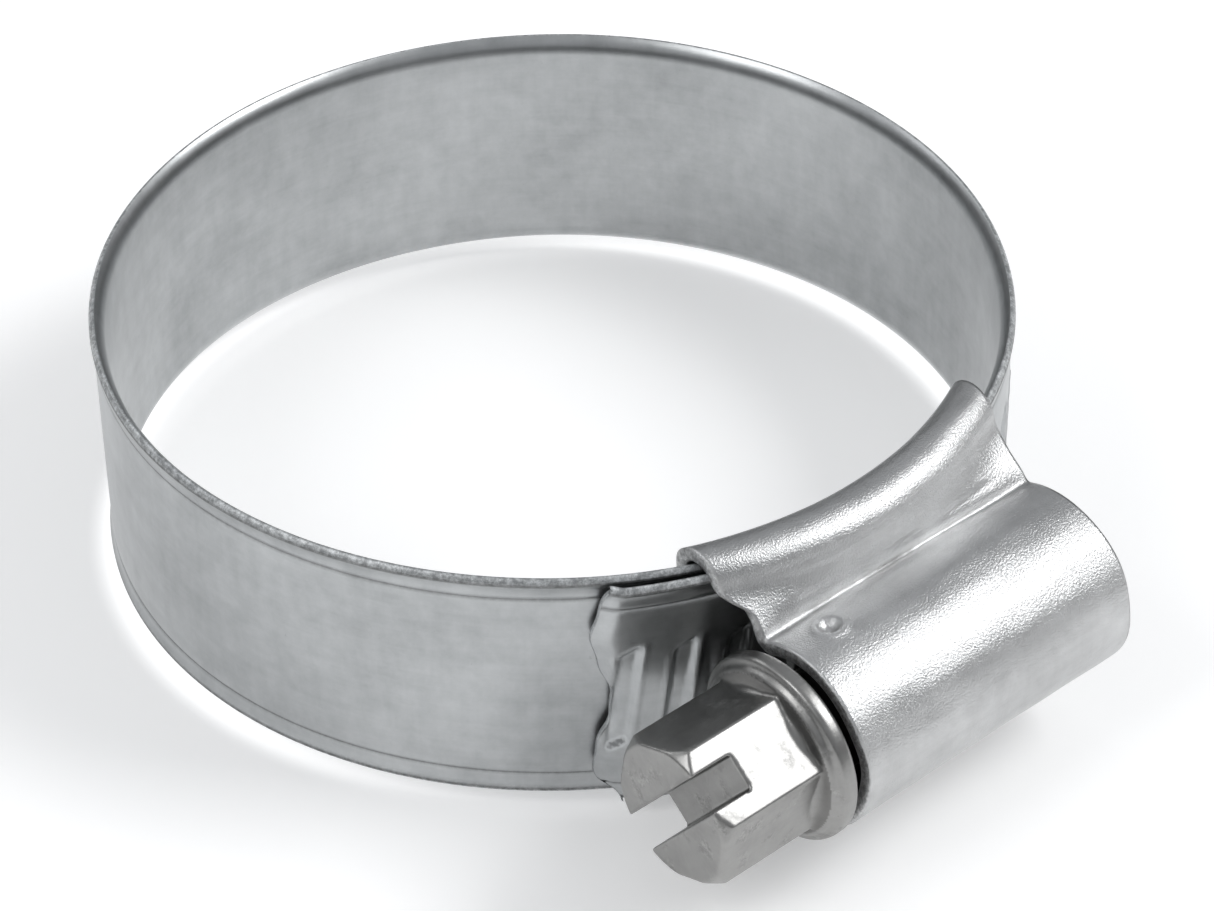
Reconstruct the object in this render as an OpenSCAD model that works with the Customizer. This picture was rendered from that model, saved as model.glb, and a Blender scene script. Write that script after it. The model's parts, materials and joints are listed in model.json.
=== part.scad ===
// Worm-drive hose clamp: a band with rolled edges, a pressed housing and a hex-head worm screw.
// +Z is the clamping axis. The housing is on the -Y side, and the screw head points to -X.

/* [Band] */
// Width of the band over its rolled edges
band_w = 13; // [9:0.5:16]
// Thickness of the band strip
band_t = 0.6; // [0.5:0.05:0.8]
// Inner radius of the loop where it enters the housing under the screw
loop_r = 21.6; // [16:0.1:40]
// Radius of the bend that rolls each edge outward
lip_r = 1.0; // [0.8:0.05:1.4]
// Angle that each edge is rolled outward
lip_angle = 60; // [30:5:75]
// Gap between two neighbouring stretches of the band
link_gap = 0.16; // [0.1:0.02:0.3]

/* [Housing] */
// Thickness of the saddle sheet under the band
saddle_t = 0.5; // [0.4:0.05:0.8]
// Thickness of the sheet round the band edges and the screw
sheet_t = 0.7; // [0.5:0.05:1]
// Length of the housing along the screw
housing_len = 17.2; // [14:0.2:24]
// Outer radius of the rolled tube that holds the worm
tube_r = 4.6; // [4:0.1:6]
// Clearance round the sliding band
slide_gap = 0.15; // [0.1:0.05:0.3]

/* [Screw] */
// Size of the hexagon across its flats
hex_af = 6.7; // [5:0.1:8]
// Length of the hexagon
hex_len = 5.0; // [4:0.2:8]
// Radius of the collar behind the hexagon
collar_r = 4.6; // [3.8:0.05:5]
// Thickness of the collar
collar_t = 1.3; // [0.8:0.1:2]
// Crest radius of the worm
worm_r = 3.35; // [2.8:0.05:4]
// Pitch of the worm thread
pitch = 2.5; // [2:0.1:3]
// Depth of the worm thread
thread_h = 0.75; // [0.4:0.05:1]
// Width of the screwdriver slot
slot_w = 1.9; // [1:0.1:2.4]
// Depth of the screwdriver slot
slot_d = 2.6; // [1:0.1:3.5]

/* [Hidden] */
$fn = 64;
links = 7;                                   // stretches of the flexible loop
loop_start = -20;                            // direction where the flexible loop begins, degrees
far_start = 90;                              // where its curve tightens
near_start = 200;                            // where it eases again towards the housing
loop_end = 246.4;                            // where it ends, inside the housing's mouth
link_turn = (near_start - loop_start) / (links - 1);
tail_end = -124.6;                           // free end of the tail, degrees
nest_gap = 0.85;                             // radial step from the head end to the tail over it
head_r = loop_r - nest_gap;                  // inner radius of the clinched head end
saddle_ri = head_r - slide_gap - saddle_t;   // inner face of the saddle
far_r = loop_r - 0.65;                       // inner radius of the loop's far half
near_r = loop_r + 0.7;                       // inner radius where the loop meets the housing
tail_ro = loop_r + band_t;                   // outer face of the tail
seat_shift = (loop_r + saddle_ri) / 2 - saddle_ri;
loop_c = [0, -seat_shift];                   // centre of the circle that the tail follows
axis_y = -(seat_shift + tail_ro + slide_gap + worm_r);
side_z = band_w / 2 + slide_gap;             // inner face of the sheet past the band's edge
shoulder_r = loop_r + lip_r + slide_gap + 0.1;
mouth_x = housing_len / 2;
wrap_half = asin((mouth_x + 0.4) / loop_r);  // half angle of the saddle
collar_x = -mouth_x - 0.3;                   // back face of the collar
tube_ri = tube_r - sheet_t;
neck_r = worm_r - thread_h - 0.1;
stake_r = 0.7;
worm_len = housing_len - 4.2;
relief = 2.3;                                  // half width of the opening over the screw's collar
marks = 13;                                  // pressed thread marks on the tail
mark_w = 1.1;
mark_len = 5.6;
mark_slant = 8;                              // lead angle of the marks, degrees
e = 0.01;

// ---- helpers ----

// Inner radius of flexible stretch i, counted from 0 at the tail
function link_start(i) = loop_start + i * link_turn;
function link_r(i) = link_start(i) < far_start - e ? loop_r : link_start(i) < near_start - e ? far_r : near_r;

// Centre of stretch i: each arc meets the one before it with no kink
function link_c(i) = i < 0 ? loop_c
    : link_c(i - 1) + ((i == 0 ? loop_r : link_r(i - 1)) - link_r(i))
        * [cos(link_start(i)), sin(link_start(i))];

// Outline of one rolled edge, from the web outward; s is 0 on the inner face, 1 on the outer
function lip(r, s, steps = 5) = [for (k = [0:steps]) let (a = lip_angle * k / steps,
    q = lip_r - s * band_t) [r + lip_r - q * cos(a), lip_z() + q * sin(a)]];
function lip_z() = band_w / 2 - lip_r * sin(lip_angle);
function flip(points) = [for (k = [len(points) - 1:-1:0]) [points[k][0], -points[k][1]]];

// Cross-section of the band with its inner face at radius r
module band_section(r) {
    polygon(concat(lip(r, 0), flip_order(lip(r, 1)), mirrored(lip(r, 1)), flip(lip(r, 0))));
}
function flip_order(points) = [for (k = [len(points) - 1:-1:0]) points[k]];
function mirrored(points) = [for (p = points) [p[0], -p[1]]];

// Arc of the current 2D section from angle a to angle b about centre c
module arc(c, a, b) {
    translate([c[0], c[1], 0]) rotate([0, 0, a]) rotate_extrude(angle = b - a) children();
}

module ring_section(r1, r2, z1, z2) { translate([r1, z1]) square([r2 - r1, z2 - z1]); }

// ---- housing ----

module along_screw(x) { translate([x, axis_y, 0]) rotate([0, 90, 0]) children(); }

module wrap() {
    top = side_z + sheet_t;
    arc(loop_c, -90 - wrap_half, -90 + wrap_half) difference() {
        ring_section(saddle_ri, shoulder_r + sheet_t, -top, top);
        ring_section(saddle_ri + saddle_t, shoulder_r, -side_z, side_z);
        ring_section(shoulder_r - 1, shoulder_r + sheet_t + 1, -relief, relief);
    }
}

// The stake pressed into the tube that keeps the screw from sliding out
module stake() {
    translate([-mouth_x + 2.1, axis_y, 0]) rotate([155, 0, 0])
        translate([0, 0, neck_r + 0.5]) cylinder(r = stake_r, h = tube_ri + 0.35 - neck_r - 0.5);
}

module housing() color("gainsboro") {
    difference() {
        union() {
            wrap();
            difference() {
                along_screw(-mouth_x) cylinder(r = tube_r, h = housing_len);
                translate([loop_c[0], loop_c[1], -band_w])
                    cylinder(r = shoulder_r + sheet_t / 2, h = 2 * band_w);
            }
        }
        along_screw(-mouth_x - 2) cylinder(r = tube_ri, h = housing_len + 4);
    }
    stake();
}

// ---- band ----

module band_head() color("darkgray")
    arc(loop_c, -90 - wrap_half + 5, -90 + wrap_half - 4)
        ring_section(head_r + 0.04, head_r + 0.04 + band_t, -lip_z(), lip_z());

module thread_marks() {
    for (k = [0:marks - 1])
        translate([loop_c[0], loop_c[1], 0]) rotate([0, 0, tail_end + 2.6 + k * pitch / tail_ro * 180 / PI])
            translate([tail_ro, 0, 0]) rotate([mark_slant, 0, 0]) cube([0.5, mark_w, mark_len], center = true);
}

module band_tail() color("silver")
    difference() {
        arc(loop_c, tail_end, loop_start - gap_angle(loop_r)) band_section(loop_r);
        thread_marks();
    }

function gap_angle(r) = link_gap / 2 / r * 180 / PI;

module band_link(i) color("silver") {
    r = link_r(i);
    end = i == links - 1 ? loop_end : link_start(i + 1) - gap_angle(r);
    arc(link_c(i), link_start(i) + gap_angle(r), end) band_section(r);
}

// ---- screw ----

module thread() {
    turns = worm_len / pitch;
    linear_extrude(height = worm_len, twist = -360 * turns, slices = 9 * turns)
        translate([thread_h / 2, 0]) circle(r = worm_r - thread_h / 2, $fn = 18);
}

module hex_head() {
    difference() {
        intersection() {
            cylinder(r = hex_af / sqrt(3), h = hex_len, $fn = 6);
            cylinder(r = hex_af / sqrt(3) * 0.965, h = hex_len);
            cylinder(r1 = hex_af / 2 - 0.1, r2 = hex_af / 2 + hex_len, h = hex_len);
        }
        rotate([0, 0, 30]) translate([-hex_af, -slot_w / 2, -1]) cube([2 * hex_af, slot_w, slot_d + 1]);
    }
}

module screw() color("lightgray") {
    along_screw(collar_x - collar_t - hex_len) rotate([0, 0, 8]) hex_head();
    along_screw(collar_x - collar_t - e) cylinder(r = collar_r - 0.35, h = collar_t);
    along_screw(collar_x - collar_t * 0.62) cylinder(r = collar_r, h = collar_t * 0.62);
    along_screw(collar_x - e) cylinder(r = neck_r, h = -collar_x - mouth_x + housing_len - 0.8);
    along_screw(-mouth_x + 3.4) thread();
}

housing();
band_head();
band_tail();
band_link(0);  // band_link_01
band_link(1);  // band_link_02
band_link(2);  // band_link_03
band_link(3);  // band_link_04
band_link(4);  // band_link_05
band_link(5);  // band_link_06
band_link(6);  // band_link_07
screw();
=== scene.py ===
"""Looks of the worm-drive hose clamp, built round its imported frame.

Lengths are in millimetres until put() writes them in the row's metres.
"""

import json
import math

import bpy
import bmesh
import numpy as np
from mathutils import Matrix, Vector, noise


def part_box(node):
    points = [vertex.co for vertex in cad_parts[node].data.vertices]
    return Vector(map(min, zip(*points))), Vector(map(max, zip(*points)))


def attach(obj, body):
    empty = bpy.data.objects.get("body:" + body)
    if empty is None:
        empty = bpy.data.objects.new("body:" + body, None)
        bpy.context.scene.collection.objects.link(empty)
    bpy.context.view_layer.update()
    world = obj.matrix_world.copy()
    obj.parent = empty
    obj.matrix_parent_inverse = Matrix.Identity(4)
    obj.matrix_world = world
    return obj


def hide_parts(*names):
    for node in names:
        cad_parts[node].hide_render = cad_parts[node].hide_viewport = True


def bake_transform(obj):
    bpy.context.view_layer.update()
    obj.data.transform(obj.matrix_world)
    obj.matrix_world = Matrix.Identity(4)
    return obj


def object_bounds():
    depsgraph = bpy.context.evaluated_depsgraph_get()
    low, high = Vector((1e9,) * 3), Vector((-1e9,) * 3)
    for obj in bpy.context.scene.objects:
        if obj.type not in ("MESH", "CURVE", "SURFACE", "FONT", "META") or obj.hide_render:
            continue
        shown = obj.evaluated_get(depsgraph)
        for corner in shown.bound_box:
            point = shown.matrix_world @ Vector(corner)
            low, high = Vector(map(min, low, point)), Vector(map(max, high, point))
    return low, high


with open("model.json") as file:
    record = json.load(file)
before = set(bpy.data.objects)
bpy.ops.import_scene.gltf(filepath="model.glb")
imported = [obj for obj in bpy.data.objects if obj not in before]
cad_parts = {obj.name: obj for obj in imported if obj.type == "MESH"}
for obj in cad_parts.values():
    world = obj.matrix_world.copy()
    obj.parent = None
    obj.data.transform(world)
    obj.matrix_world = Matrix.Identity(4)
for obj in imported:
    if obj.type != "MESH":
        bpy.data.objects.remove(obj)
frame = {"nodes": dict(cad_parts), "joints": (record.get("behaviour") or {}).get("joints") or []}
CAD_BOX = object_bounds()
MM = 0.001

# ---------------------------------------------------------------- sizes

JOINTS = {j["name"]: j for j in frame["joints"]}
LOOP_C = [v / MM for v in JOINTS["band_feed"]["pos_m"]]
SCREW_Y = JOINTS["screw_turn"]["pos_m"][1] / MM
BAND_T = 0.6            # strip thickness
BAND_W = 13.0           # strip width over its rolled edges
LIP_R = 1.35            # radius of the rolled edge
LIP_ANGLE = math.radians(52)
LIP_THIN = 0.2          # how much thinner the strip is at the lip's cut edge
LIP_Z = BAND_W / 2 - LIP_R * math.sin(LIP_ANGLE)
LINKS = 7
LOOP_START = math.radians(-20)
LINK_TURN = math.radians(220 / (LINKS - 1))
LOOP_END = math.radians(246.4)
TAIL_END = math.radians(-124.6)
TAIL_R = math.hypot(*[JOINTS["loop_bend_01"]["pos_m"][k] / MM - LOOP_C[k] for k in (0, 1)]) - BAND_T / 2
LINK_R = [TAIL_R] * 3 + [TAIL_R - 0.65] * 3 + [TAIL_R + 0.7]
PITCH = 2.5             # worm thread
EDGE_ROUND = 0.07       # radius left on sheared edges
END_DROP = 0.24         # how far the outer face rolls over at the tail's sheared end
END_DROP_LEN = 0.45     # over this length
END_SHIFT_SPAN = math.radians(5)        # stretch of the tail that follows its wavy end
MARKS = 13              # thread marks pressed in the tail
MARK_START = -0.35      # where the first one's space begins, from the tail's end
MARK_SLANT = math.radians(7)


def put(points):
    """Millimetres to the row's metres."""
    return [tuple(c * MM for c in p) for p in points]


# ---------------------------------------------------------------- mesh helpers


def smoothstep(a, b, x):
    t = min(1.0, max(0.0, (x - a) / (b - a)))
    return t * t * (3 - 2 * t)


def make(name, points, faces, material, uvs=None, normals=None, masks=None):
    """A mesh piece from points in millimetres. masks is {attribute name: value per point}.

    uvs are in millimetres too, and stored in hundredths, so that a texture sees 100 mm per unit."""
    mesh = bpy.data.meshes.new(name)
    mesh.from_pydata(put(points), [], faces)
    mesh.validate()
    if uvs is not None:
        layer = mesh.uv_layers.new(name="UVMap")
        for loop in mesh.loops:
            u, v = uvs[loop.vertex_index]
            layer.data[loop.index].uv = (u * 0.01, v * 0.01)
    for key, values in (masks or {}).items():
        attribute = mesh.attributes.new(key, "FLOAT", "POINT")
        attribute.data.foreach_set("value", np.array(values, np.float32))
    mesh.polygons.foreach_set("use_smooth", [True] * len(mesh.polygons))
    if normals is not None:
        mesh.normals_split_custom_set_from_vertices([tuple(n) for n in normals])
    mesh.materials.append(material)
    obj = bpy.data.objects.new(name, mesh)
    bpy.context.scene.collection.objects.link(obj)
    return obj


def grid_faces(rows, cols, wrap_cols, flip=False):
    """Quads of a rows x cols grid of points; wrap_cols closes each row."""
    faces = []
    for i in range(rows - 1):
        for j in range(cols if wrap_cols else cols - 1):
            k = (j + 1) % cols
            quad = (i * cols + j, i * cols + k, (i + 1) * cols + k, (i + 1) * cols + j)
            faces.append(quad[::-1] if flip else quad)
    return faces


# ---------------------------------------------------------------- materials


class Nodes:
    """Short names for building a node material."""

    def __init__(self, name):
        self.material = bpy.data.materials.new(name)
        self.material.use_nodes = True
        self.tree = self.material.node_tree
        self.shader = self.tree.nodes["Principled BSDF"]

    def node(self, kind, **values):
        n = self.tree.nodes.new(kind)
        for key, value in values.items():
            setattr(n, key, value)
        return n

    def link(self, a, b):
        self.tree.links.new(a, b)

    def coords(self, kind, scale):
        """UV or Object coordinates, times scale: 100 turns UV to millimetres, 1000 turns Object to them."""
        source = self.node("ShaderNodeTexCoord")
        mapping = self.node("ShaderNodeMapping")
        mapping.inputs["Scale"].default_value = scale
        self.link(source.outputs[kind], mapping.inputs["Vector"])
        return mapping.outputs["Vector"]

    def noise(self, vector, scale, detail=4.0, rough=0.55, distortion=0.0):
        n = self.node("ShaderNodeTexNoise")
        n.inputs["Scale"].default_value = scale
        n.inputs["Detail"].default_value = detail
        n.inputs["Roughness"].default_value = rough
        n.inputs["Distortion"].default_value = distortion
        self.link(vector, n.inputs["Vector"])
        return n.outputs["Fac"]

    def ramp(self, value, stops):
        n = self.node("ShaderNodeValToRGB")
        while len(n.color_ramp.elements) < len(stops):
            n.color_ramp.elements.new(0.5)
        for element, (at, grey) in zip(n.color_ramp.elements, stops):
            element.position = at
            element.color = (*grey, 1) if isinstance(grey, tuple) else (grey, grey, grey, 1)
        self.link(value, n.inputs["Fac"])
        return n.outputs["Color"]

    def math(self, operation, a, b=None, c=None):
        n = self.node("ShaderNodeMath", operation=operation)
        for socket, value in zip(n.inputs, (a, b, c)):
            if value is None:
                continue
            if isinstance(value, (int, float)):
                socket.default_value = value
            else:
                self.link(value, socket)
        return n.outputs[0]

    def mix(self, factor, a, b, blend="MIX"):
        n = self.node("ShaderNodeMix", data_type="RGBA", blend_type=blend)
        for socket, value in ((n.inputs["Factor"], factor), (n.inputs["A"], a), (n.inputs["B"], b)):
            if isinstance(value, (int, float)):
                socket.default_value = value if socket.type == "VALUE" else (value, value, value, 1)
            elif isinstance(value, tuple):
                socket.default_value = (*value, 1)
            else:
                self.link(value, socket)
        return n.outputs["Result"]

    def mask(self, name):
        n = self.node("ShaderNodeAttribute", attribute_name=name)
        return n.outputs["Fac"]

    def bump(self, height, strength, distance, under=None):
        n = self.node("ShaderNodeBump")
        n.inputs["Strength"].default_value = strength
        n.inputs["Distance"].default_value = distance
        self.link(height, n.inputs["Height"])
        if under is not None:
            self.link(under, n.inputs["Normal"])
        return n.outputs["Normal"]


def zinc(name, dark, light, rough, grain, grain_size, streak, speck):
    """Zinc plate. dark and light bound its grey, rough is (smoothest, roughest), grain is the bump of its
    crystals at grain_size millimetres, streak the strength of marks along the part, and speck that of its
    dark pits. The mask edge marks its worn sheared edges; its other mask paints shade in near-black."""
    m = Nodes(name)
    shader = m.shader
    shader.inputs["Metallic"].default_value = 1.0
    uv = m.coords("UV", (100, 100, 100))        # back to millimetres
    along = m.coords("UV", (100 * 0.12, 100 * 1.6, 100))
    across = m.coords("UV", (100 * 1.5, 100 * 0.10, 100))
    body = m.coords("Object", (1000, 1000, 1000))

    cloud = m.noise(body, 0.16, 5, 0.6)
    mottle = m.noise(body, 0.9, 5, 0.65)
    fine = m.noise(body, 1 / grain_size, 3, 0.6)
    lines = m.noise(along, 1.0, 5, 0.7)
    bars = m.noise(across, 0.8, 4, 0.6)
    tone = m.math("MULTIPLY_ADD", cloud, 0.45, m.math("MULTIPLY_ADD", mottle, 0.30,
                  m.math("MULTIPLY_ADD", lines, 0.12 + 0.3 * streak, m.math("MULTIPLY", bars, 0.13))))
    middle = tuple((a + b) / 2 for a, b in zip(dark, light))
    colour = m.ramp(tone, [(0.32, dark), (0.50, middle), (0.70, light)])

    pits = m.ramp(m.noise(body, 2.6, 6, 0.75), [(0.26, 1.0), (0.34, 0.0)])
    scratches = m.ramp(m.noise(m.coords("UV", (100 * 0.35, 100 * 9.0, 100)), 1.0, 3, 0.7, 0.6),
                       [(0.66, 0.0), (0.70, 1.0)])
    colour = m.mix(m.math("MULTIPLY", pits, speck), colour, tuple(c * 0.45 for c in dark))
    edge = m.mask("edge")
    worn = m.ramp(m.noise(body, 3.2, 6, 0.8), [(0.42, 0.0), (0.62, 1.0)])
    edge_colour = m.mix(worn, tuple(c * 0.95 for c in dark), tuple(c * 1.25 for c in light))
    colour = m.mix(edge, colour, edge_colour)
    # painted shade: the piece's second mask pulls the colour to near-black in creases, grooves and hollows
    colour = m.mix(m.mask("painted_shade"), colour, (0.045, 0.043, 0.04))
    m.link(colour, shader.inputs["Base Color"])

    uneven = m.math("ADD", m.math("MULTIPLY", mottle, 0.6), m.math("MULTIPLY", lines, 0.4))
    roughness = m.math("MULTIPLY_ADD", uneven, rough[1] - rough[0], rough[0])
    roughness = m.math("MULTIPLY_ADD", edge, 0.18, m.math("MULTIPLY_ADD", scratches, 0.06, roughness))
    m.link(roughness, shader.inputs["Roughness"])

    normal = m.bump(fine, grain, 0.05 * MM)
    normal = m.bump(lines, 0.25 * streak + 0.02, 0.05 * MM, normal)
    normal = m.bump(scratches, 0.10, 0.01 * MM, normal)
    torn = m.math("MULTIPLY", edge, m.noise(body, 4.5, 5, 0.8))
    normal = m.bump(torn, 0.25, 0.03 * MM, normal)
    m.link(normal, shader.inputs["Normal"])
    return m.material


BAND = zinc("band_zinc", dark=(0.31, 0.320, 0.325), light=(0.53, 0.544, 0.550), rough=(0.26, 0.38),
            grain=0.06, grain_size=0.12, streak=0.20, speck=0.35)
HOUSING = zinc("housing_zinc", dark=(0.36, 0.363, 0.365), light=(0.60, 0.604, 0.606), rough=(0.24, 0.36),
               grain=0.75, grain_size=0.10, streak=0.40, speck=0.40)
SCREW = zinc("screw_zinc", dark=(0.22, 0.219, 0.214), light=(0.38, 0.377, 0.370), rough=(0.26, 0.40),
             grain=0.10, grain_size=0.14, streak=0.05, speck=0.70)


# ---------------------------------------------------------------- band


def link_centres():
    """Centre of each stretch of the loop: each arc meets the one before with no kink."""
    centres = []
    centre = np.array(LOOP_C[:2])
    before = TAIL_R
    for i, radius in enumerate(LINK_R):
        a = LOOP_START + i * LINK_TURN
        centre = centre + (before - radius) * np.array([math.cos(a), math.sin(a)])
        centres.append(centre)
        before = radius
    return centres


CENTRES = link_centres()


def band_point(angle, out, z):
    """A point of the loop: its direction, its height over the inner face, and z."""
    i = int(math.floor((angle - LOOP_START) / LINK_TURN + 1e-9))
    i = min(i, LINKS - 1)
    centre, radius = (LOOP_C, TAIL_R) if i < 0 else (CENTRES[i], LINK_R[i])
    r = radius + out
    return (centre[0] + r * math.cos(angle), centre[1] + r * math.sin(angle), z)


def band_outline():
    """Closed cross-section as (height over the inner face, z, edge mask, painted shade), inner face first."""
    inner, outer = [], []
    for k in range(15):
        z = -LIP_Z + 2 * LIP_Z * k / 14
        inner.append((0.0, z, 0.0, 0.0))
    for k in range(1, 10):
        a = LIP_ANGLE * k / 10
        inner.append((LIP_R - LIP_R * math.cos(a), LIP_Z + LIP_R * math.sin(a), 0.0, 0.0))
    near, far = LIP_R, LIP_R - BAND_T + LIP_THIN
    n_dir = (-math.cos(LIP_ANGLE), math.sin(LIP_ANGLE))
    cut = []
    for k in range(9):
        s = k / 8
        bulge = EDGE_ROUND * (math.sin(math.pi * s) ** 0.4 - 1)
        r = near + (far - near) * s
        along = (math.sin(LIP_ANGLE), math.cos(LIP_ANGLE))
        # painted shade: the fourth value darkens the outer corner of the lip's cut edge
        cut.append((LIP_R + r * n_dir[0] + bulge * along[0], LIP_Z + r * n_dir[1] + bulge * along[1], 1.0,
                    0.55 if k > 6 else 0.0))
    for k in range(9, 0, -1):
        a = LIP_ANGLE * k / 10
        far = LIP_R - BAND_T + LIP_THIN * (k / 10) ** 2
        outer.append((LIP_R - far * math.cos(a), LIP_Z + far * math.sin(a), 0.25 if k > 7 else 0.0,
                      0.5 if k == 9 else 0.0))
    # painted shade: the fourth value darkens the crease under each rolled lip
    crease = [(BAND_T, LIP_Z, 0.0, 0.0), (BAND_T - 0.03, LIP_Z - 0.10, 0.2, 0.15),
              (BAND_T - 0.06, LIP_Z - 0.17, 0.3, 0.6), (BAND_T - 0.03, LIP_Z - 0.24, 0.2, 0.15),
              (BAND_T, LIP_Z - 0.36, 0.0, 0.0)]
    half = inner[8:] + cut + outer + crease
    for k in range(1, 7):
        half.append((BAND_T, (LIP_Z - 0.36) * (1 - k / 7), 0.0, 0.0))
    low = [(h, -z, e, d) for h, z, e, d in reversed(half)]
    return [(0.0, 0.0, 0.0, 0.0)] + half + [(BAND_T, 0.0, 0.0, 0.0)] + low


OUTLINE = band_outline()


def outline_normals(outline):
    """Normal of each outline point in (height, z), from its two neighbours."""
    normals = []
    count = len(outline)
    for k in range(count):
        before, after = outline[k - 1], outline[(k + 1) % count]
        dh, dz = after[0] - before[0], after[1] - before[1]
        length = math.hypot(dh, dz) or 1.0
        normals.append((-dz / length, dh / length))
    return normals


def ripple(angle, z):
    """Faint unevenness of the rolled strip, in millimetres."""
    x, y = 22 * math.cos(angle), 22 * math.sin(angle)
    return 0.035 * noise.noise(Vector((x * 0.11, y * 0.11, z * 0.10)))


def sweep(name, angles, material, marks=None, end_shift=None, caps=(False, False)):
    """The strip along the given directions. marks(arc, z) raises the web's outer face, end_shift(z) shapes
    the first end, and caps says which ends are closed. A marked strip rolls over at its first end."""
    outline = finer(OUTLINE) if marks else OUTLINE
    slopes = outline_normals(outline)
    rows, cols = len(angles), len(outline)
    around = [0.0]
    for k in range(1, cols):
        around.append(around[-1] + math.dist(outline[k][:2], outline[k - 1][:2]))
    points, uvs, normals, edge, painted_shade = [], [], [], [], []
    for angle in angles:
        for k, (h, z, e, shade_paint) in enumerate(outline):
            a = angle
            if end_shift:
                fade = max(0.0, 1 - (angle - angles[0]) / END_SHIFT_SPAN)
                a += end_shift(z) * fade / TAIL_R
            lift = ripple(a, z)
            if marks and abs(z) < LIP_Z and h > BAND_T / 2:
                lift += marks((a - TAIL_END) * TAIL_R, z)
            if marks and h > BAND_T / 2:
                lift -= END_DROP * math.exp(-((angle - angles[0]) * TAIL_R / END_DROP_LEN) ** 2)
            points.append(band_point(a, h + lift, z))
            uvs.append((a * TAIL_R, around[k]))
            normals.append((slopes[k][0] * math.cos(a), slopes[k][0] * math.sin(a), slopes[k][1]))
            edge.append(e)
            # painted shade from the outline, darker along the crease under the lips
            painted_shade.append(shade_paint)
    faces = grid_faces(rows, cols, True)
    pairs = strip_pairs()
    for angle, sign, closed in ((angles[0], -1, caps[0]), (angles[-1], 1, caps[1])):
        if not closed:
            continue
        first = len(points)
        for inner, outer in pairs:
            for c in range(5):
                h, z = (inner[i] + (outer[i] - inner[i]) * c / 4 for i in (0, 1))
                if marks:
                    h -= END_DROP * c / 4
                a = angle + (end_shift(z) if end_shift else 0.0) / TAIL_R
                bulge = sign * EDGE_ROUND * math.sin(math.pi * c / 4) / TAIL_R
                points.append(band_point(a + bulge, h, z))
                uvs.append((a * TAIL_R + h, z))
                edge.append(0.5)
                painted_shade.append(0.0)
                normals.append((-sign * math.sin(a), sign * math.cos(a), 0.0))
        for quad in grid_faces(len(pairs), 5, False, sign > 0):
            faces.append(tuple(first + v for v in quad))
    masks = {"edge": edge, "painted_shade": painted_shade}
    return make(name, points, faces, material, uvs, None if marks else normals, masks)


def strip_pairs():
    """Matching points of the inner and the outer face, (height, z) each, from the low lip to the high one."""
    half = []
    for k in range(40):
        half.append(((0.0, LIP_Z * k / 40), (BAND_T, LIP_Z * k / 40)))
    for k in range(11):
        a = LIP_ANGLE * k / 10
        far = LIP_R - BAND_T + LIP_THIN * (k / 10) ** 2
        half.append(((LIP_R - LIP_R * math.cos(a), LIP_Z + LIP_R * math.sin(a)),
                     (LIP_R - far * math.cos(a), LIP_Z + far * math.sin(a))))
    low = [((a[0], -a[1]), (b[0], -b[1])) for a, b in half[:0:-1]]
    return low + half


def finer(outline):
    """The outline with the flat web divided for the pressed thread marks."""
    out = []
    for k, p in enumerate(outline):
        q = outline[(k + 1) % len(outline)]
        out.append(p)
        steps = int(math.dist(p[:2], q[:2]) / 0.16)
        for s in range(1, steps):
            t = s / steps
            out.append(tuple(p[i] + (q[i] - p[i]) * t for i in range(4)))
    return out


def angle_steps(a, b, step=0.30):
    count = max(2, int(abs(b - a) * TAIL_R / step) + 1)
    return [a + (b - a) * k / (count - 1) for k in range(count)]


def thread_marks(arc, z):
    """Slanted grooves pressed in the tail, raised a little along their sides."""
    phase = (arc - z * math.tan(MARK_SLANT) - MARK_START) / PITCH
    if phase < 0 or phase > MARKS:
        return 0.0
    u = (phase % 1.0 - 0.5) * PITCH
    groove = 1 - smoothstep(0.32, 0.56, abs(u))
    rim = math.exp(-((abs(u) - 0.66) / 0.14) ** 2)
    ends = 1 - smoothstep(2.6, 2.9, abs(z + 0.1 - 0.6 * u))
    return (-0.24 * groove + 0.07 * rim) * ends


def tail_wave(z):
    """How far the sheared end of the tail runs on, against z, in millimetres."""
    return -0.42 * math.cos((z - 3.4) * 0.85) + 0.7 * smoothstep(4.8, 6.4, -z) + 0.06 * math.sin(z * 3.1)


def build_band():
    """Loop pieces from the middle of one stretch to the middle of the next."""
    bodies = ["tail"] + [f"link_{i + 1:02d}" for i in range(LINKS)]
    middles = [LOOP_START + (i - 0.5) * LINK_TURN for i in range(LINKS + 1)]
    for i in range(LINKS):
        a, b = middles[i], middles[i + 1]
        obj = sweep(f"band_loop_{i + 1:02d}", angle_steps(a, b), BAND)
        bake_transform(obj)
        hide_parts(f"band_link_{i + 1:02d}")
    last = sweep("band_loop_end", angle_steps(middles[-1], LOOP_END), BAND, caps=(False, True))
    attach(last, bodies[-1])
    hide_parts(f"band_link_{LINKS:02d}")
    tail = sweep("band_tail_strip", angle_steps(TAIL_END, middles[0], 0.13), BAND, thread_marks, tail_wave,
                 (True, False))
    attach(tail, "tail")
    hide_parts("band_tail")


# ---------------------------------------------------------------- housing

TUBE_R = 4.6
SHEET = 0.65
FOLD_R = 1.5
FOLD_AT = (22.35, 5.85)        # centre of the fold round the band's edge: distance from the axis, z
SADDLE_U = 20.85
CREASE = (24.12, 3.95)
SAG_R = 21.0                   # radius of the curve that the saddle and the fold follow
SADDLE_T = 0.5
STAKE_X = -5.2                 # the stake that keeps the screw in: its length and its turn round the tube
STAKE_TURN = math.radians(99)


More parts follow.
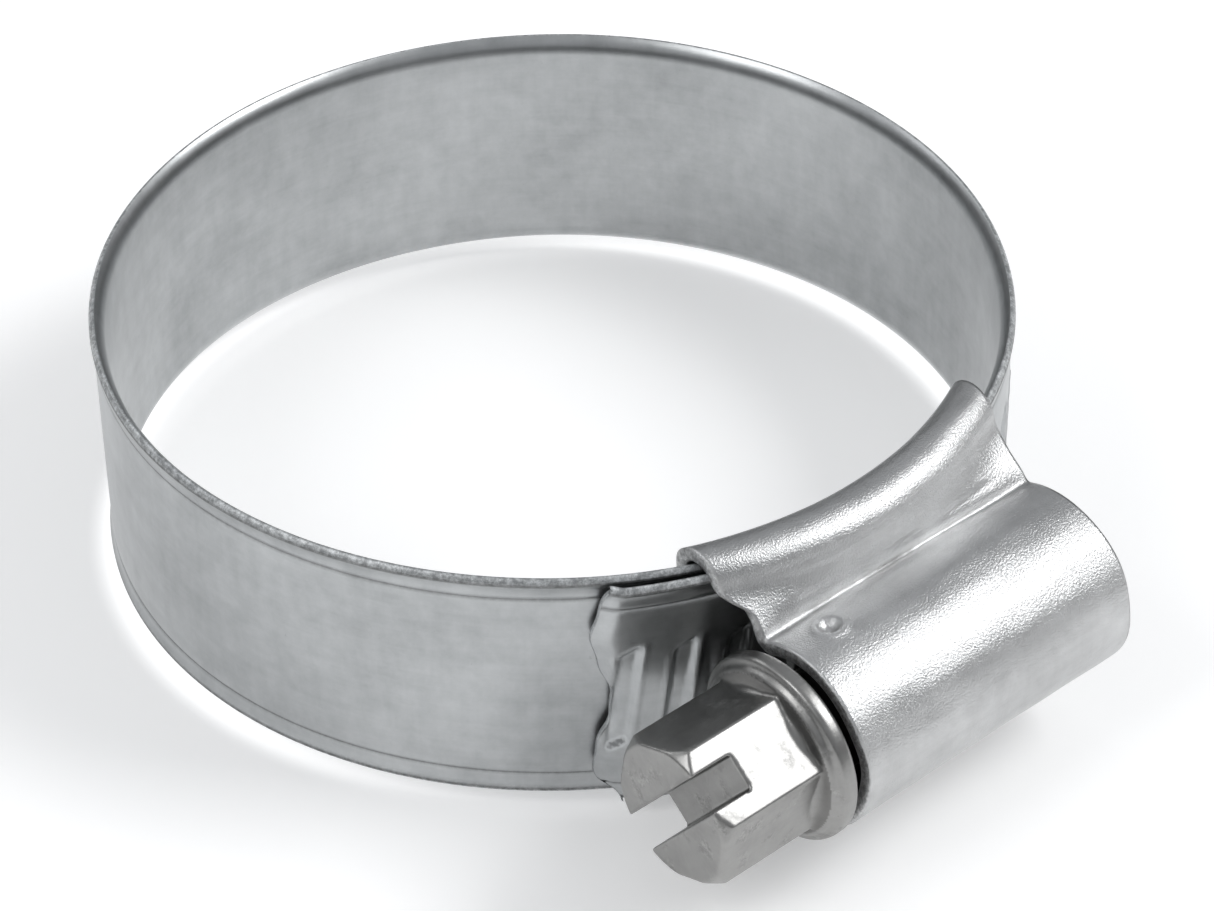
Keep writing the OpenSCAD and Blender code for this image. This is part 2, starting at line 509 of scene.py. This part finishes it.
def housing_section():
    """Outer contour for z >= 0 at the middle: (distance from the axis, z, share of the sag, zone)."""
    points = []
    for k in range(24):
        points.append((SADDLE_U, FOLD_AT[1] * k / 24, 1.0, "saddle"))
    turn = math.radians(166)
    for k in range(34):
        a = turn * k / 33
        points.append((FOLD_AT[0] - FOLD_R * math.cos(a), FOLD_AT[1] + FOLD_R * math.sin(a), 1.0, "fold"))
    start = points[-1]
    steps = 18
    for k in range(1, steps):
        t = k / steps
        belly = 0.10 * math.sin(math.pi * t)
        points.append((start[0] + (CREASE[0] - start[0]) * t + belly,
                       start[1] + (CREASE[1] - start[1]) * t, 1 - smoothstep(0, 1, t), "flange"))
    first = math.atan2(CREASE[1], CREASE[0] + SCREW_Y) - 0.03
    for k in range(70):
        a = first * (1 - k / 69)
        points.append((-SCREW_Y + TUBE_R * math.cos(a), TUBE_R * math.sin(a), 0.0, "tube"))
    return points


def relax(points, rounds):
    """Rounds the corners of a contour by averaging, keeping its two ends."""
    for _ in range(rounds):
        new = [points[0]]
        for a, b, c in zip(points, points[1:], points[2:]):
            new.append(((a[0] + 2 * b[0] + c[0]) / 4, (a[1] + 2 * b[1] + c[1]) / 4, b[2], b[3]))
        points = new + [points[-1]]
    return points


def housing_ends(share, z):
    """First and last x of the sheet, against its share of the sag."""
    blend = smoothstep(0.4, 1.0, share)
    wave = 0.05 * math.sin(z * 1.4 + 0.6)
    return -7.6 - 0.75 * blend + wave, 8.9 + 0.15 * blend - wave


def dents(x, s, z, zone):
    """Height of the pressed sheet's wrinkles at length x and contour distance s."""
    lump = noise.noise(Vector((x * 0.16, s * 0.55, 3.1)))
    fine = noise.noise(Vector((x * 0.42, s * 1.1, 9.4)))
    if zone == "saddle":
        return 0.02 * lump
    if zone == "fold":
        return 0.04 * lump + 0.02 * fine
    if zone == "flange":
        ridge = noise.noise(Vector((x * 0.10, s * 1.5, 5.5)))
        crease = math.exp(-((z - 4.75 - 0.10 * lump) / 0.16) ** 2) * smoothstep(-0.3, 0.2, fine)
        return 0.09 * ridge + 0.02 * fine - 0.10 * crease
    return 0.05 * lump + 0.025 * fine


def dimple(x, u, z):
    """The stake that keeps the screw in: a round pit with a raised rim."""
    centre = (STAKE_X, -SCREW_Y + TUBE_R * math.cos(STAKE_TURN), TUBE_R * math.sin(STAKE_TURN))
    d = math.dist((x, u, z), centre)
    return -0.30 * math.exp(-(d / 0.42) ** 4) + 0.10 * math.exp(-((d - 0.72) / 0.20) ** 2)


def build_housing():
    half = relax(housing_section(), 3)
    low = [(u, -z, s, zone) for u, z, s, zone in half[1:-1]]
    contour = half + low[::-1]
    count = len(contour)
    dist = [0.0]
    for k in range(1, count):
        dist.append(dist[-1] + math.dist(contour[k][:2], contour[k - 1][:2]))
    outward = []
    for k in range(count):
        a, b = contour[k - 1], contour[(k + 1) % count]
        du, dz = b[0] - a[0], b[1] - a[1]
        length = math.hypot(du, dz)
        outward.append((-dz / length, du / length))
    cells, rim = 120, 5        # along the sheet, and across its cut edge
    layers = []
    for side in ("out", "in"):
        rows = []
        for i in range(cells + 1):
            row = []
            for k, (u, z, share, zone) in enumerate(contour):
                x0, x1 = housing_ends(share, z)
                x = x0 + (x1 - x0) * i / cells
                nu, nz = outward[k]
                fade = min(1.0, 7 * min(i, cells - i) / cells + 0.1)
                lift = dents(x, dist[k], z, zone) * fade
                lift += dimple(x, u, z) if z > 0 else 0.0
                if side == "in":
                    lift = lift * 0.5 - SHEET
                    if zone == "saddle":
                        lift = -SADDLE_T
                sag = share * (SAG_R - math.sqrt(SAG_R ** 2 - x ** 2))
                row.append((x, -(u + nu * lift - sag), z + nz * lift))
            rows.append(row)
        layers.append(rows)
    points = [p for rows in layers for row in rows for p in row]
    n = (cells + 1) * count
    faces = grid_faces(cells + 1, count, True, True)
    faces += [tuple(v + n for v in f) for f in grid_faces(cells + 1, count, True)]
    edge = [0.0] * (2 * n)
    for row, flip in ((0, False), (cells, True)):
        before = [row * count + k for k in range(count)]
        for r in range(1, rim + 1):
            if r == rim:
                ring = [n + row * count + k for k in range(count)]
            else:
                ring = []
                t = r / rim
                bulge = (1 if row else -1) * 0.06 * math.sin(math.pi * t)
                for k in range(count):
                    a, b = layers[0][row][k], layers[1][row][k]
                    ring.append(len(points))
                    p = [a[i] + (b[i] - a[i]) * t for i in range(3)]
                    points.append((p[0] + bulge, p[1], p[2]))
                    edge.append(1.0)
            for k in range(count):
                j = (k + 1) % count
                quad = (before[k], before[j], ring[j], ring[k])
                faces.append(quad[::-1] if flip else quad)
            before = ring
    uvs, painted_shade = [], []
    for i, p in enumerate(points):
        k = i % count if i < 2 * n else 0
        uvs.append((p[0], dist[k] if i < 2 * n else 0.0))
        u, z, share, zone = contour[k]
        # painted shade: a dark jagged line along the crease where the flange meets the tube, on the outer
        # sheet
        crease_shade = 0.0
        if i < n and z > 0:
            jag = 0.07 * noise.noise(Vector((p[0] * 1.9, 7.5, 0)))
            near = math.exp(-((math.dist((u, z), (CREASE[0], CREASE[1] + 0.1 + jag))) / 0.13) ** 2)
            crease_shade = near * smoothstep(-0.05, 0.25, noise.noise(Vector((p[0] * 0.45, 1.5, 0))))
        # painted shade: the inner sheet, but for three rows at each end, is darkened to 0.75 so the mouth
        # looks dark
        painted_shade.append(0.75 if n + 3 * count < i < 2 * n - 3 * count else 0.9 * crease_shade)
    obj = make("housing_shell", points, faces, HOUSING, uvs, None, {"edge": edge, "painted_shade": painted_shade})
    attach(obj, "housing")
    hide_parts("housing")


# ---------------------------------------------------------------- screw

HEAD_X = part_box("screw")[0].x / MM
HEX_AF = 6.6
HEX_LEN = 5.0
COLLAR_R = 4.6
COLLAR_X = HEAD_X + HEX_LEN + 0.70
WORM_R = 3.35
NECK_R = 2.5
WORM_START = -5.2
WORM_END = 7.8


def lathe(rings):
    """bmesh of revolution about the screw's axis from (x, radius) pairs."""
    bm = bmesh.new()
    sides = 96
    loops = []
    for x, r in rings:
        loops.append([bm.verts.new((x, SCREW_Y + r * math.cos(2 * math.pi * k / sides),
                                    r * math.sin(2 * math.pi * k / sides))) for k in range(sides)])
    for a, b in zip(loops, loops[1:]):
        for k in range(sides):
            j = (k + 1) % sides
            bm.faces.new((a[k], a[j], b[j], b[k]))
    bm.faces.new(loops[0][::-1])
    bm.faces.new(loops[-1])
    bmesh.ops.recalc_face_normals(bm, faces=bm.faces)
    return bm


def to_object(bm, name):
    mesh = bpy.data.meshes.new(name)
    bm.to_mesh(mesh)
    bm.free()
    obj = bpy.data.objects.new(name, mesh)
    bpy.context.scene.collection.objects.link(obj)
    return obj


def hexagon(x0, x1, af, turn):
    """A hexagonal prism along the screw's axis."""
    bm = bmesh.new()
    loops = []
    for x in (x0, x1):
        loops.append([bm.verts.new((x, SCREW_Y + af / math.sqrt(3) * math.cos(turn + k * math.pi / 3),
                                    af / math.sqrt(3) * math.sin(turn + k * math.pi / 3))) for k in range(6)])
    for k in range(6):
        j = (k + 1) % 6
        bm.faces.new((loops[0][k], loops[0][j], loops[1][j], loops[1][k]))
    bm.faces.new(loops[0][::-1])
    bm.faces.new(loops[1])
    bmesh.ops.recalc_face_normals(bm, faces=bm.faces)
    return bm


def apply_modifiers(obj):
    deps = bpy.context.evaluated_depsgraph_get()
    mesh = bpy.data.meshes.new_from_object(obj.evaluated_get(deps))
    obj.modifiers.clear()
    obj.data = mesh


def boolean(obj, other, operation):
    modifier = obj.modifiers.new(operation, "BOOLEAN")
    modifier.operation = operation
    modifier.object = other
    modifier.solver = "EXACT"
    apply_modifiers(obj)
    bpy.data.objects.remove(other)


HEX_TURN = math.radians(38)
SLOT_TURN = math.radians(128)
SLOT_W = 1.75
SLOT_D = 2.2


def build_screw():
    """Head and collar forged in one: cut square, then softened by a fine remesh and smoothing."""
    head = to_object(hexagon(HEAD_X, COLLAR_X + 0.4, HEX_AF, HEX_TURN), "screw_head")
    chamfer = to_object(lathe([(HEAD_X - 0.01, HEX_AF / 2 + 0.05), (HEAD_X + 0.65, HEX_AF / 2 + 0.62),
                               (COLLAR_X + 0.5, HEX_AF / 2 + 0.62)]), "chamfer")
    boolean(head, chamfer, "INTERSECT")
    bm = bmesh.new()
    bmesh.ops.create_cube(bm, size=1)
    for v in bm.verts:
        x, y, z = v.co
        y, z = y * 3 * HEX_AF, z * SLOT_W
        c, s = math.cos(SLOT_TURN), math.sin(SLOT_TURN)
        v.co = (HEAD_X - 1 + (x + 0.5) * (SLOT_D + 1), SCREW_Y + y * c - z * s, y * s + z * c)
    boolean(head, to_object(bm, "slot"), "DIFFERENCE")
    collar = to_object(lathe([
        (COLLAR_X - 0.30, 3.35), (COLLAR_X - 0.10, 3.50), (COLLAR_X + 0.05, 3.95), (COLLAR_X + 0.18, 4.15),
        (COLLAR_X + 0.34, 4.22), (COLLAR_X + 0.46, 4.52), (COLLAR_X + 0.62, COLLAR_R),
        (COLLAR_X + 1.12, COLLAR_R),
        (COLLAR_X + 1.29, COLLAR_R - 0.2), (COLLAR_X + 1.30, NECK_R), (COLLAR_X + 4.0, NECK_R)]), "collar")
    boolean(head, collar, "UNION")
    remesh = head.modifiers.new("remesh", "REMESH")
    remesh.mode = "VOXEL"
    remesh.voxel_size = 0.085
    smooth = head.modifiers.new("smooth", "SMOOTH")
    smooth.factor = 0.5
    smooth.iterations = 5
    apply_modifiers(head)
    mesh = head.data
    count = len(mesh.vertices)
    co = np.zeros(count * 3)
    mesh.vertices.foreach_get("co", co)
    co = co.reshape(-1, 3)
    layer = mesh.uv_layers.new(name="UVMap")
    angle = np.arctan2(co[:, 2], co[:, 1] - SCREW_Y)
    for loop in mesh.loops:
        p = co[loop.vertex_index]
        layer.data[loop.index].uv = (p[0] * 0.01, angle[loop.vertex_index] * 3.6 * 0.01)
    edge = mesh.attributes.new("edge", "FLOAT", "POINT")
    painted_shade = mesh.attributes.new("painted_shade", "FLOAT", "POINT")
    values = np.zeros(count, np.float32)
    shade_paint = np.zeros(count, np.float32)
    radius = np.hypot(co[:, 1] - SCREW_Y, co[:, 2])
    for k in range(count):
        spot = noise.noise(Vector(co[k] * 0.9)) + 0.5 * noise.noise(Vector(co[k] * 2.7))
        values[k] = 0.6 * smoothstep(0.10, 0.70, spot)
        # painted shade: a dark ring in the corner where the hexagon meets the collar
        shade_paint[k] = 0.5 * math.exp(-((co[k][0] - COLLAR_X - 0.05) / 0.22) ** 2) * (radius[k] < 4.0)
    edge.data.foreach_set("value", values)
    painted_shade.data.foreach_set("value", shade_paint)
    mesh.transform(Matrix.Scale(MM, 4))
    mesh.polygons.foreach_set("use_smooth", [True] * len(mesh.polygons))
    mesh.materials.clear()
    mesh.materials.append(SCREW)
    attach(head, "screw")
    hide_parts("screw")
    build_worm()


def build_worm():
    """Helical worm as a grid: a rounded trapezoid thread on its core, with closed ends."""
    around, step = 72, 0.12
    count = int((WORM_END - WORM_START) / step)
    points, uvs = [], []
    for i in range(count + 1):
        x = WORM_START + (WORM_END - WORM_START) * i / count
        run = smoothstep(WORM_START, WORM_START + 0.8, x) * (1 - smoothstep(WORM_END - 0.7, WORM_END, x))
        for k in range(around):
            a = 2 * math.pi * k / around
            phase = (x / PITCH - a / (2 * math.pi)) % 1.0
            crest = 1 - smoothstep(0.14, 0.36, abs(phase - 0.5))
            r = NECK_R + (WORM_R - NECK_R) * crest * run
            points.append((x, SCREW_Y + r * math.cos(a), r * math.sin(a)))
            uvs.append((x, a * 3.4))
    faces = grid_faces(count + 1, around, True, False)
    for row, x, flip in ((0, WORM_START, True), (count, WORM_END, False)):
        centre = len(points)
        points.append((x + (0.15 if row else -0.15), SCREW_Y, 0))
        uvs.append((x, 0))
        for k in range(around):
            tri = (row * around + k, row * around + (k + 1) % around, centre)
            faces.append(tri[::-1] if flip else tri)
    # painted shade: the whole worm is darkened a quarter of the way to near-black, as it sits inside the
    # housing's tube
    worm = make("worm_thread", points, faces, SCREW, uvs, None,
                {"edge": [0.1] * len(points), "painted_shade": [0.25] * len(points)})
    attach(worm, "screw")


# ---------------------------------------------------------------- stage


def area_light(name, place, target, size, power):
    data = bpy.data.lights.new(name, "AREA")
    data.shape = "RECTANGLE"
    data.size, data.size_y = size[0] * MM, size[1] * MM
    data.energy = power
    obj = bpy.data.objects.new(name, data)
    obj.location = Vector(place) * MM
    direction = (Vector(target) - Vector(place)).normalized()
    obj.rotation_euler = direction.to_track_quat("-Z", "Y").to_euler()
    bpy.context.scene.collection.objects.link(obj)


def build_camera():
    """The view from the screw-head side, looking down at the loop."""
    azimuth, elevation, distance = math.radians(-129.7), math.radians(38.43), 199.8
    pan, tilt, roll = 0.0132, -0.0152, math.radians(-1.40)
    target = Vector(LOOP_C)
    ahead = -Vector((math.cos(elevation) * math.cos(azimuth), math.cos(elevation) * math.sin(azimuth),
                     math.sin(elevation)))
    place = target - ahead * distance
    right = ahead.cross(Vector((0, 0, 1))).normalized()
    up = right.cross(ahead)
    ahead = (ahead + pan * right + tilt * up).normalized()
    right = (right - ahead * right.dot(ahead)).normalized()
    up = right.cross(ahead)
    right, up = (math.cos(roll) * right + math.sin(roll) * up, -math.sin(roll) * right + math.cos(roll) * up)
    data = bpy.data.cameras.new("camera")
    data.lens = 121.0
    data.sensor_width = 36.0
    data.clip_start = 0.01
    obj = bpy.data.objects.new("camera", data)
    turn = Matrix((right, up, -ahead)).transposed().to_4x4()
    obj.matrix_world = Matrix.Translation(place * MM) @ turn
    bpy.context.scene.collection.objects.link(obj)
    bpy.context.scene.camera = obj


def build_stage():
    floor_z = CAD_BOX[0].z / MM - 0.02
    size = 1500
    mesh = bpy.data.meshes.new("floor")
    mesh.from_pydata(put([(-size, -size, floor_z), (size, -size, floor_z), (size, size, floor_z),
                          (-size, size, floor_z)]), [], [(0, 1, 2, 3)])
    paper = bpy.data.materials.new("floor_paper")
    paper.use_nodes = True
    shader = paper.node_tree.nodes["Principled BSDF"]
    shader.inputs["Base Color"].default_value = (0.92, 0.92, 0.92, 1)
    shader.inputs["Roughness"].default_value = 0.9
    shader.inputs["Emission Color"].default_value = (1, 1, 1, 1)
    shader.inputs["Emission Strength"].default_value = 0.22
    mesh.materials.append(paper)
    floor = bpy.data.objects.new("floor", mesh)
    bpy.context.scene.collection.objects.link(floor)
    world = bpy.data.worlds.new("studio")
    bpy.context.scene.world = world
    world.use_nodes = True
    background = world.node_tree.nodes["Background"]
    background.inputs["Color"].default_value = (0.95, 0.97, 1.0, 1)
    background.inputs["Strength"].default_value = 0.50
    area_light("key", (330, -270, 420), (0, -10, 0), (280, 280), 1.9)
    area_light("back", (-160, 520, 330), (0, 0, 0), (420, 120), 0.35)
    area_light("left", (-420, 60, 420), (0, 0, 0), (260, 260), 0.75)
    build_flags(floor_z)


def build_flags(floor_z):
    """A low ring of dark cards round the set, which the metal reflects along its horizon."""
    count, radius, height = 24, 620, 150
    ring = [(radius * math.cos(2 * math.pi * k / count), radius * math.sin(2 * math.pi * k / count))
            for k in range(count)]
    points = [(x, y, floor_z + z) for z in (0.5, height) for x, y in ring]
    faces = [(k, (k + 1) % count, count + (k + 1) % count, count + k) for k in range(count)]
    mesh = bpy.data.meshes.new("flags")
    mesh.from_pydata(put(points), [], faces)
    card = bpy.data.materials.new("flag_card")
    card.use_nodes = True
    card.node_tree.nodes["Principled BSDF"].inputs["Base Color"].default_value = (0.03, 0.03, 0.03, 1)
    mesh.materials.append(card)
    flags = bpy.data.objects.new("flags", mesh)
    flags.visible_camera = False
    bpy.context.scene.collection.objects.link(flags)


build_camera()
build_band()
build_housing()
build_screw()
build_stage()

bpy.context.scene.view_settings.view_transform = "Standard"
frame["nodes"]["band_head"].data.materials.clear()
frame["nodes"]["band_head"].data.materials.append(BAND)
